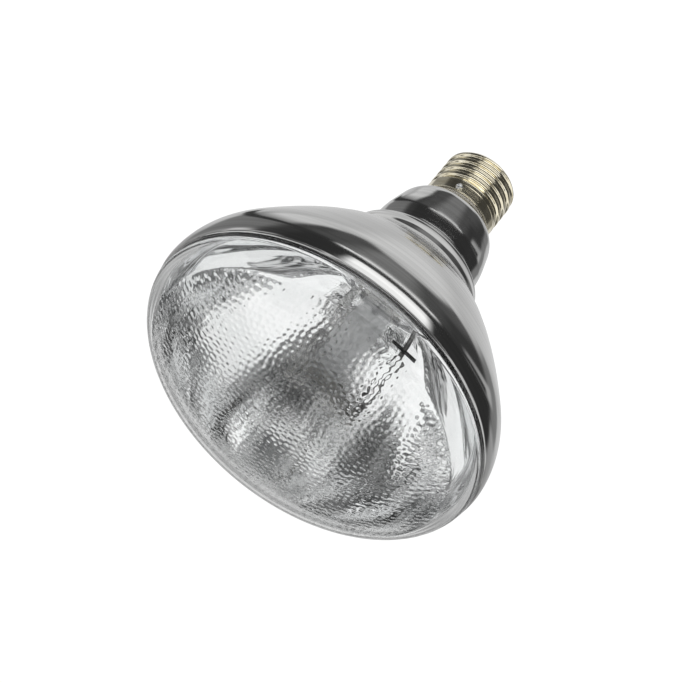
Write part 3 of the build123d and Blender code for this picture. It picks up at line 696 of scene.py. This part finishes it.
@dataclass
class ScrewBase:
    """Screw shell of thin rolled sheet with its plug, centre contact and solder."""

    foot_z: float
    lip_z: float
    pitch: float = 3.629
    crest: float = 13.15
    thread_depth: float = 0.85
    thread_flatness: float = 3.2
    thread_foot: float = 0.4
    thread_fade: float = 1.6
    wall: float = 0.35
    foot_opening: float = 9.8
    foot_chamfer: float = 1.2
    plain_band: float = 6.2
    lip_flare: float = 0.45
    lip_band: float = 0.9
    segments: int = 240
    rows: int = 170
    nose_radius: float = 5.2
    plug_rise: float = 2.95
    plug_bore: float = 0.75
    plug_clearance: float = 0.1
    contact_radius: float = 4.7
    contact_z: float = 1.4
    contact_tip: float = 0.7
    eyelet_radius: float = 1.6
    eyelet_bore: float = 0.9
    eyelet_depth: float = 2.0
    solder_radius: float = 2.4
    solder_flat: float = 0.6
    side_angle: float = -69.4
    side_drop: float = 2.2
    side_radius: float = 1.38
    side_pole: float = 1.2
    side_squash: float = 0.85
    side_sink: float = 0.25
    side_lobes: float = 0.3
    side_lumps: float = 0.14

    def thread(self, angle: np.ndarray, height: np.ndarray) -> np.ndarray:
        """Depth of the rolled groove: a flattened cosine of the height less the climb of the helix, in turns.

        Args:
            angle: Angles round the axis.
            height: Heights in millimetres.

        Returns:
            Depth below the crest, fading out at the plain band and at the foot.
        """
        turns = (height - self.foot_z) / self.pitch - angle / (2 * np.pi)
        flat = self.thread_flatness
        groove = 0.5 + 0.5 * np.tanh(flat * np.cos(2 * np.pi * turns)) / math.tanh(flat)
        top = np.clip((self.lip_z - self.plain_band - height) / self.pitch + 0.5, 0, 1)
        return self.thread_depth * groove * top * top * (3 - 2 * top)

    def shell(self) -> bpy.types.Object:
        """Rolled sheet: a closed section whose outer and inner runs both carry the thread, one wall apart.

        Returns:
            The piece.
        """
        flare_z = self.lip_z - self.lip_band
        heel = (self.crest - self.thread_depth, self.foot_z)
        low = (self.crest, self.foot_z + self.foot_chamfer)
        lip_radius = self.crest + self.lip_flare
        lip_low = (lip_radius, flare_z + self.lip_flare)
        outer = np.vstack(
            [
                straight_run((self.foot_opening, self.foot_z), heel, 6),
                straight_run(heel, low, 8)[1:-1],
                straight_run(low, (self.crest, flare_z), self.rows),
                straight_run((self.crest, flare_z), lip_low, 5)[1:],
                straight_run(lip_low, (lip_radius, self.lip_z), 4)[1:],
            ]
        )
        inner = outer[::-1] - [self.wall, 0]
        inner[-6:, 0] += self.wall
        inner[-12:, 1] += self.wall
        section = np.vstack([outer, inner])
        angle = np.linspace(0, 2 * np.pi, self.segments, endpoint=False)
        height = np.repeat(section[:, 1:], self.segments, axis=1)
        foot = np.clip((height - self.foot_z - self.thread_foot) / self.thread_fade, 0, 1)
        threaded = section[:, :1] > self.crest - 2 * self.wall
        radius = section[:, :1] - self.thread(angle, height) * foot * threaded
        points = circled(radius, section[:, 1:], angle)
        piece = mesh_object("screw_shell_rolled", points, grid_quads(len(section), self.segments, True))
        return dress(piece, "nickel_brass", [SHELL_METAL], "screw_shell")

    def plug(self) -> bpy.types.Object:
        """Black glass plug: a cone from the contact's seat to the shell's foot, with a flat top inside.

        Returns:
            The piece.
        """
        waist = self.foot_opening - self.plug_clearance
        seat = self.crest - self.thread_depth - self.wall - self.plug_clearance
        top = self.foot_z + self.plug_rise
        line = np.array(
            [
                (self.eyelet_radius, self.contact_z),
                (self.nose_radius, self.contact_z),
                (waist, self.foot_z),
                (waist, self.foot_z + self.wall),
                (seat, self.foot_z + self.wall),
                (seat, top),
                (self.plug_bore, top),
                (self.plug_bore, self.contact_z + self.eyelet_depth),
                (self.eyelet_radius, self.contact_z + self.eyelet_depth),
            ]
        )
        piece = revolved("base_plug", rounded(even_spacing(np.vstack([line, line[:1]]), 0.15), 2)[:-1], 160)
        return dress(piece, "plug_glass", [PLUG_GLASS], "base_insulator")

    def contact(self) -> bpy.types.Object:
        """Centre contact: a disc with rolled edges and an eyelet.

        Returns:
            The piece.
        """
        line = np.array(
            [
                (self.eyelet_bore, self.contact_tip),
                (self.contact_radius, self.contact_tip),
                (self.contact_radius, self.contact_z),
                (self.eyelet_radius, self.contact_z),
                (self.eyelet_radius, self.contact_z + self.eyelet_depth),
                (self.eyelet_bore, self.contact_z + self.eyelet_depth),
            ]
        )
        piece = revolved("contact_disc", rounded(even_spacing(np.vstack([line, line[:1]]), 0.1), 2)[:-1], 120)
        return dress(piece, "contact_brass", [CONTACT_BRASS], "centre_contact")

    def centre_drop(self) -> bpy.types.Object:
        """Solder drop on the contact: a quadratic curve from the tip to the edge, turned round the axis.

        Returns:
            The piece.
        """
        edge = (self.solder_radius, self.contact_tip)
        section = bezier_arc((0, 0), (self.solder_flat * self.solder_radius, 0), edge, 24)
        piece = revolved("contact_solder", np.vstack([section, (0, self.contact_tip)]), 96)
        return dress(piece, "solder", [SOLDER], "centre_solder")

    def lip_drop(self) -> bpy.types.Object:
        """Solder at the lip: a lumpy ball of two lobes, flattened where it lies against the shell.

        The ball's radius is its mean radius times one plus two low waves of its two angles.

        Returns:
            The piece.
        """
        rows, columns = 40, 72
        polar = np.linspace(0, np.pi, rows)[1:-1, None]
        round_angle = np.linspace(0, 2 * np.pi, columns, endpoint=False)[None]
        lumps = 1 + self.side_lobes * np.cos(2 * round_angle + 0.6) * np.sin(polar) ** 2
        lumps = lumps + self.side_lumps * np.sin(5 * polar + 1.3 * np.cos(round_angle)) * np.sin(polar)
        radius = self.side_radius * lumps
        out = radius * np.sin(polar) * np.cos(round_angle)
        across = radius * np.sin(polar) * np.sin(round_angle)
        up = radius * np.cos(polar) * np.ones_like(round_angle)
        turn = math.radians(self.side_angle)
        centre_z = self.lip_z - self.side_drop
        distance = np.maximum(self.crest + self.side_squash * out, self.crest - self.side_sink)
        bearing = turn + across / self.crest
        height = centre_z + self.side_squash * up
        points = np.stack([distance * np.cos(bearing), distance * np.sin(bearing), height], axis=-1)
        side_x, side_y = self.crest * math.cos(turn), self.crest * math.sin(turn)
        poles = [[side_x, side_y, centre_z + rise] for rise in (self.side_pole, -self.side_pole)]
        points = np.vstack([points.reshape(-1, 3), poles])
        number = np.arange((rows - 2) * columns).reshape(-1, columns)
        caps = [fan(number[0, ::-1], len(points) - 2), fan(number[-1], len(points) - 1)]
        piece = mesh_object("lip_solder", points, grid_quads(rows - 2, columns, False), np.vstack(caps))
        return dress(piece, "solder", [SOLDER], "side_solder")

    def build(self) -> None:
        """Builds the shell and what closes it."""
        self.shell()
        self.plug()
        self.contact()
        self.centre_drop()
        self.lip_drop()


@dataclass
class InnerMount:
    """What stands inside the bulb: posts, arc tube, ballast filament, resistor and getter."""

    ring_radius: float = 13.0
    coil_radius: float = 0.58
    wire_radius: float = 0.12
    coil_pitch: float = 0.5
    coil_sides: int = 12
    wire_sides: int = 6
    open_turn: float = 270.0
    finishes: dict[str, Finish] = field(
        default_factory=lambda: {
            "basing_cement": CEMENT,
            "glass_stem": CLEAR_GLASS,
            "lead_wire_side": COPPER,
            "lead_wire_centre": COPPER,
            "support_post_long": POST_STEEL,
            "support_post_short": NICKEL_WIRE,
            "heat_shield": SHIELD_SHEET,
            "arc_tube": QUARTZ,
            "upper_electrode": TUNGSTEN,
            "lower_electrode": TUNGSTEN,
            "starting_probe": TUNGSTEN,
            "seal_foils": SEAL_FOIL,
            "arc_tube_leads": NICKEL_WIRE,
            "upper_clamp": STRAP,
            "lower_clamp": STRAP,
            "filament_insulator": STEATITE,
            "filament_hooks": TUNGSTEN,
            "filament_clips": STRAP,
            "starting_resistor": RESISTOR,
            "getter_strip": GETTER,
        }
    )

    def filament(self) -> bpy.types.Object:
        """Ballast filament: a fine coil whose own axis is an open ring round the arc tube.

        A point goes round the coil once a pitch while the coil's centre goes along the ring.

        Returns:
            The piece.
        """
        low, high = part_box("ballast_filament")
        height = (low[2] + high[2]) / 2 / MM
        ring_angle = math.radians(self.open_turn)
        turns = ring_angle * self.ring_radius / self.coil_pitch
        t = np.linspace(0, 1, int(turns * self.coil_sides))
        bearing, coil = ring_angle * t, 2 * np.pi * turns * t
        radius = self.ring_radius + self.coil_radius * np.cos(coil)
        path = np.column_stack(
            [radius * np.cos(bearing), radius * np.sin(bearing), height + self.coil_radius * np.sin(coil)]
        )
        piece = carried("filament_coil", path, self.wire_radius, self.wire_sides)
        return dress(piece, "tungsten", [TUNGSTEN], "ballast_filament")

    def build(self) -> None:
        """Winds the filament and dresses the CAD nodes that stay."""
        self.filament()
        for name, finish in self.finishes.items():
            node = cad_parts[name]
            node.data.materials.clear()
            node.data.materials.append(finish.material())
            log.info("%s: %s", name, finish.name)


@dataclass(frozen=True)
class Panel:
    """A patch of the light tent: bearings and heights in degrees, its level and how soft its edges are."""

    bearing: tuple[float, float]
    height: tuple[float, float]
    level: float
    soft: float = 5.0
    side_soft: float = 0.0

    def cover(self, bearing: np.ndarray, height: np.ndarray) -> np.ndarray:
        """Share of the patch at each direction: a smooth step over each of its four edges.

        Args:
            bearing: Angles from -Y towards +X in degrees.
            height: Angles above the horizon in degrees.

        Returns:
            Values from 0 outside to 1 inside.
        """
        middle = (self.bearing[0] + self.bearing[1]) / 2
        turn = (bearing - middle + 180) % 360 - 180 + middle
        side_soft = self.side_soft or self.soft
        edges = (
            (turn - self.bearing[0]) / side_soft,
            (self.bearing[1] - turn) / side_soft,
            (height - self.height[0]) / self.soft,
            (self.height[1] - height) / self.soft,
        )
        share = np.ones_like(bearing)
        for inward in edges:
            step = np.clip(inward + 0.5, 0, 1)
            share = share * step * step * (3 - 2 * step)
        return share


TENT: tuple[Panel, ...] = (
    # Behind the bulb, low: what its far sides show
    Panel((125, 255), (-72, 14), 0.7, 10),
    Panel((228, 262), (-62, -34), 0.3, 8),
    Panel((100, 260), (-36, 14), 0.5, 8),
    Panel((145, 215), (-16, 14), 0.25, 5, 14),
    Panel((150, 210), (-10, -4), 0.9, 2, 14),
    Panel((150, 210), (3, 8), 0.9, 2, 14),
    Panel((72, 136), (-50, -20), 0.28, 8),
    # In front, low: dark ground with light lines, shown by bowl, collar and neck
    Panel((-106, 86), (-77, -10), 0.15, 7, 14),
    Panel((-102, 82), (-64, -12), 0.07, 8, 14),
    Panel((-44, 74), (-76, -48), 0.13, 8, 24),
    Panel((-14, 40), (-76, -48), 0.32, 8, 26),
    Panel((-21, 30), (-50, -44), 0.85, 3, 12),
    Panel((-112, -64), (-51, -44), 0.6, 3, 10),
    Panel((-104, 68), (-43.5, 6), 0.05, 3, 10),
    Panel((-26, 30), (-37, -3), 1.8, 2.5, 9),
    # Two strips that only the upright parts of the screw shell show
    Panel((-98, 150), (-47.6, -44.4), 0.06, 0.8, 8),
    Panel((-33, 45), (-47.6, -44.4), 1.5, 0.8, 12),
    # Sky: what the mirror shows through the front glass
    Panel((125, 235), (14, 56), 0.15, 4),
    Panel((-128, -46), (19, 52), 1.05, 2),
    Panel((-46, -26), (8, 35), 0.25, 2),
    Panel((-26, 42), (0, 35), 0.78, 2),
    Panel((-24, 27), (-8, 9), 1.8, 2.5, 9),
    Panel((-43, 9), (34.5, 54), 0.1, 1.5),
    Panel((9, 32), (36, 50), 0.28, 2),
    Panel((42, 68), (10, 37), 0.12, 1.5),
    Panel((66, 82), (8, 30), 0.12, 1.5),
    Panel((80, 97), (4, 20), 0.15, 1.5),
    Panel((40, 106), (38, 55), 1.05, 1.5, 4),
    Panel((74, 117), (31, 42), 1.1, 1.5),
    Panel((84, 117), (21, 38), 1.15, 1.5),
    Panel((20, 108), (57, 70), 0.3, 2),
    Panel((112, 164), (56, 74), 1.4, 3, 6),
    Panel((-220, 220), (72, 120), 1.0, 4),
)


@dataclass
class Studio:
    """White surroundings, a light tent with panels, soft lamps, the floor and the photograph's camera."""

    target: tuple[float, float, float] = (0.0, 0.0, 0.0758)
    seam: tuple[float, float, float] = (0.0, 0.0, 0.1158)
    away: tuple[float, float, float] = (0.0, 0.8066, -0.5911)
    right: tuple[float, float, float] = (-0.7744, -0.3740, -0.5103)
    distance: float = 0.717624
    shift_right: float = 0.008717
    shift_up: float = 0.014461
    focal_mm: float = 121.58
    sensor_mm: float = 36.0
    tent_radius: float = 1.1
    tent_level: float = 0.95
    sky_level: float = 0.45
    sky_soft: float = 20.0
    flecks: tuple[float, float] = (24.0, 17.0)
    fleck_depth: float = 0.9
    fleck_pull: float = 1.7
    fleck_edge: float = 2.5
    fleck_low: float = 3.0
    fleck_fade: float = 4.0
    tent_rows: int = 181
    tent_columns: int = 360
    tent_pole: float = 89.9
    unseen_level: float = 0.5
    floor_z: float = -1.3
    floor_half: float = 30.0
    floor_tone: float = 0.85
    floor_glow: float = 0.6
    lamp_size: float = 0.6
    lamp_power: float = 7.0
    left_lamp: tuple[float, float, float] = (0.8, -0.3, 0.5)
    right_lamp: tuple[float, float, float] = (-0.8, -0.3, 0.4)

    def camera(self) -> None:
        """Places the camera: back from the seam along the view, then across to the photograph's framing."""
        data = bpy.data.cameras.new("camera")
        data.lens, data.sensor_width = self.focal_mm, self.sensor_mm
        data.clip_start = 0.01
        item = bpy.data.objects.new("camera", data)
        away, right = Vector(self.away).normalized(), Vector(self.right)
        right = (right - away * right.dot(away)).normalized()
        up = right.cross(away).normalized()
        place = Vector(self.seam) - away * self.distance + right * self.shift_right + up * self.shift_up
        item.matrix_world = Matrix.Translation(place) @ Matrix((right, up, -away)).transposed().to_4x4()
        bpy.context.scene.collection.objects.link(item)
        bpy.context.scene.camera = item

    def tent(self) -> None:
        """Light tent: a sphere round the object, seen only in reflections and through glass.

        The tent is white below and grey above. Each panel is laid over it in turn. Lighter and darker flecks
        cover the grey parts of the sky and show in the bumps of the glass. They are the product of two sines,
        one along the bearing and one along the height, each shifted by a slower sine of the other.
        """
        rows, columns = self.tent_rows, self.tent_columns
        height = np.linspace(-self.tent_pole, self.tent_pole, rows)[:, None] * np.ones(columns)
        bearing = np.arange(columns)[None] * (360 / columns) - 180 + np.zeros((rows, 1))
        rise = np.clip(height / self.sky_soft + 0.5, 0, 1)
        level = self.tent_level + (self.sky_level - self.tent_level) * rise
        for panel in TENT:
            cover = panel.cover(bearing, height)
            level = level * (1 - cover) + panel.level * cover
        grey = np.clip((self.tent_level - level) / 0.2, 0, 1)
        grey = grey * np.clip((height - self.fleck_low) / self.fleck_fade, 0, 1)
        around, upward = 2 * np.pi * bearing / self.flecks[0], 2 * np.pi * height / self.flecks[1]
        flecks = np.sin(around + self.fleck_pull * np.sin(0.45 * upward))
        flecks = flecks * np.sin(upward + self.fleck_pull * np.sin(0.4 * around))
        level = level * (1 + self.fleck_depth * grey * np.tanh(self.fleck_edge * flecks))
        h, b = np.radians(height), np.radians(bearing)
        points = np.stack([np.cos(h) * np.sin(b), -np.cos(h) * np.cos(b), np.sin(h)], axis=-1).reshape(-1, 3)
        points = np.array(self.target) + self.tent_radius * points
        tent = mesh_object("light_tent", points / MM, grid_quads(rows, columns, False))
        tent.data.attributes.new("level", "FLOAT", "POINT").data.foreach_set("value", level.ravel())
        material = bpy.data.materials.new("light_tent")
        material.use_nodes = True
        nodes, links = material.node_tree.nodes, material.node_tree.links
        nodes.remove(nodes["Principled BSDF"])
        light, painted = nodes.new("ShaderNodeEmission"), nodes.new("ShaderNodeAttribute")
        painted.attribute_name = "level"
        links.new(painted.outputs["Fac"], light.inputs["Strength"])
        links.new(light.outputs["Emission"], nodes["Material Output"].inputs["Surface"])
        tent.data.materials.append(material)
        tent.visible_camera = False
        tent.visible_shadow = False
        tent.visible_diffuse = False

    def seen(self, tree: bpy.types.NodeTree) -> bpy.types.NodeSocket:
        """Adds the nodes that tell whether a ray comes from the camera, a reflection or through glass.

        Args:
            tree: Node tree of the floor or the world.

        Returns:
            Socket that is 1 for such a ray and 0 for any other.
        """
        path = tree.nodes.new("ShaderNodeLightPath")
        value = path.outputs["Is Camera Ray"]
        for ray in ("Is Glossy Ray", "Is Transmission Ray"):
            either = tree.nodes.new("ShaderNodeMath")
            either.operation = "MAXIMUM"
            tree.links.new(value, either.inputs[0])
            tree.links.new(path.outputs[ray], either.inputs[1])
            value = either.outputs["Value"]
        return value

    def surroundings(self) -> None:
        """World that camera, mirror and glass rays see as white, at full strength, and others dimmer."""
        world = bpy.data.worlds.new("surroundings")
        bpy.context.scene.world = world
        world.use_nodes = True
        tree = world.node_tree
        strength = tree.nodes.new("ShaderNodeMapRange")
        strength.inputs["To Min"].default_value = self.unseen_level
        strength.inputs["To Max"].default_value = 1.0
        tree.links.new(self.seen(tree), strength.inputs["Value"])
        background = tree.nodes["Background"]
        background.inputs["Color"].default_value = (1, 1, 1, 1)
        tree.links.new(strength.outputs["Result"], background.inputs["Strength"])

    def floor(self) -> None:
        """Pale floor far below the bulb: part of its white is its own, and the lit part keeps the shadow."""
        half = self.floor_half
        corners = np.array([(-half, -half, 0), (half, -half, 0), (half, half, 0), (-half, half, 0)])
        floor = mesh_object("floor", (corners + [0, 0, self.floor_z]) / MM, np.array([[0, 1, 2, 3]]))
        material = bpy.data.materials.new("floor")
        material.use_nodes = True
        tree = material.node_tree
        shader = tree.nodes["Principled BSDF"]
        shader.inputs["Base Color"].default_value = (*[self.floor_tone] * 3, 1)
        shader.inputs["Roughness"].default_value = 0.9
        shader.inputs["Specular IOR Level"].default_value = 0.0
        shader.inputs["Emission Color"].default_value = (1, 1, 1, 1)
        glow = tree.nodes.new("ShaderNodeMath")
        glow.operation = "MULTIPLY"
        glow.inputs[1].default_value = self.floor_glow
        tree.links.new(self.seen(tree), glow.inputs[0])
        tree.links.new(glow.outputs["Value"], shader.inputs["Emission Strength"])
        floor.data.materials.append(material)

    def lamp(self, name: str, place: tuple[float, float, float]) -> None:
        """A round soft lamp that faces the object and doesn't show in mirrors or through glass.

        Args:
            name: Name of the lamp.
            place: Place in metres.
        """
        data = bpy.data.lights.new(name, "AREA")
        data.shape = "DISK"
        data.size, data.energy = self.lamp_size, self.lamp_power
        item = bpy.data.objects.new(name, data)
        turn = (Vector(self.target) - Vector(place)).to_track_quat("-Z", "Y")
        item.matrix_world = Matrix.Translation(Vector(place)) @ turn.to_matrix().to_4x4()
        item.visible_glossy = False
        item.visible_transmission = False
        bpy.context.scene.collection.objects.link(item)

    def build(self) -> None:
        """Sets the stage."""
        scene = bpy.context.scene
        scene.view_settings.view_transform = "Standard"
        scene.cycles.max_bounces = 24
        scene.cycles.glossy_bounces = 12
        scene.cycles.transmission_bounces = 16
        scene.cycles.transparent_max_bounces = 16
        self.surroundings()
        self.camera()
        self.tent()
        self.floor()
        self.lamp("left_lamp", self.left_lamp)
        self.lamp("right_lamp", self.right_lamp)


def main() -> None:
    logging.basicConfig(level=logging.INFO, format="%(name)s %(message)s")
    lens_low, lens_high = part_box("lens")
    bowl_low, bowl_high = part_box("reflector")
    shell_low, shell_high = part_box("screw_shell")
    seam_radius, seam_z = round(lens_high[0] / MM, 1), round(lens_low[2] / MM, 1)
    FrontGlass(seam_radius, seam_z, round(lens_high[2] / MM, 1) - seam_z).build()
    Bowl(seam_radius, seam_z, round(bowl_high[0] / MM, 1), bowl_low[2] / MM).build()
    ScrewBase(round(shell_low[2] / MM, 1), round(shell_high[2] / MM, 1)).build()
    InnerMount().build()
    Studio().build()


if __name__ == "__main__":
    main()
